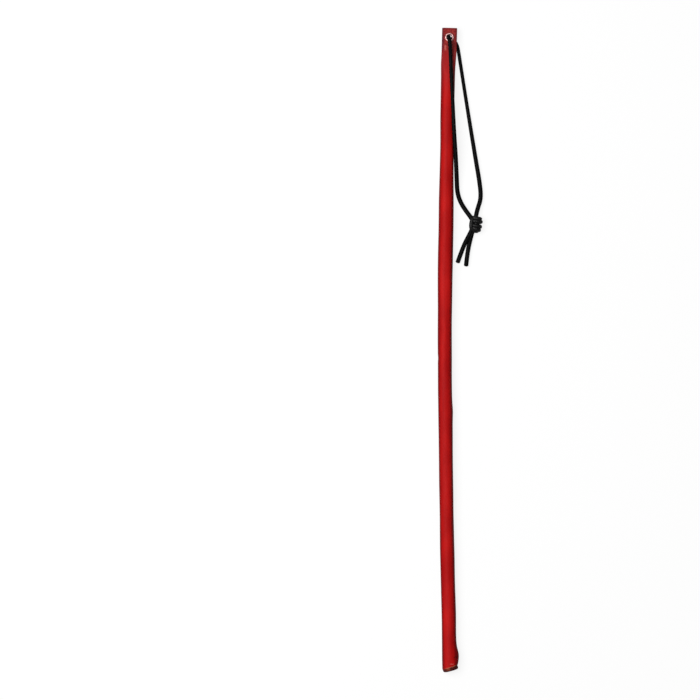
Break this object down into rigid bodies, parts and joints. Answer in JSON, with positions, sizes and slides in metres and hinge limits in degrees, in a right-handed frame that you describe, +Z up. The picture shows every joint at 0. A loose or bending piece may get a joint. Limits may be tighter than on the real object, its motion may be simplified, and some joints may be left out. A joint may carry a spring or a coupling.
{
  "type": "flexible stick with wrist cord",
  "caption": "Slim flexible stick: a springy rod in a seamed leather cover, flattened into a tab with a metal eyelet and a knotted wrist cord.",
  "frame": {"origin": "centre of the stick's footprint, on the surface it lies on, the free cord left out", "axes": "+Y along the stick towards the eyelet, +Z up from the surface, +X to the side where the cord lies"},
  "size_m": [0.0454, 0.6502, 0.0173],
  "materials": {
    "core": "matte",
    "cover": "semi-gloss leather",
    "disc": "cut leather",
    "thread": "waxed",
    "metal": "nickel plated",
    "cord": "soft sheen"
  },
  "bodies": {
    "stick": {"core_rod": "core", "leather_cover": "cover", "seam_thread": "thread", "end_disc": "disc", "eyelet": "metal", "eyelet_washer": "metal"},
    "wrist_cord": {"cord_front_leg": "cord", "cord_back_leg": "cord", "wrist_knot": "cord", "cord_left_tail": "cord", "cord_right_tail": "cord"}
  },
  "joints": [
    {"name": "cord_swing", "type": "hinge", "parent": "stick", "child": "wrist_cord", "pos_m": [0.00212, 0.31489, 0.0072], "axis": [0, 0, 1], "range_deg": [0, 300]}
  ]
}
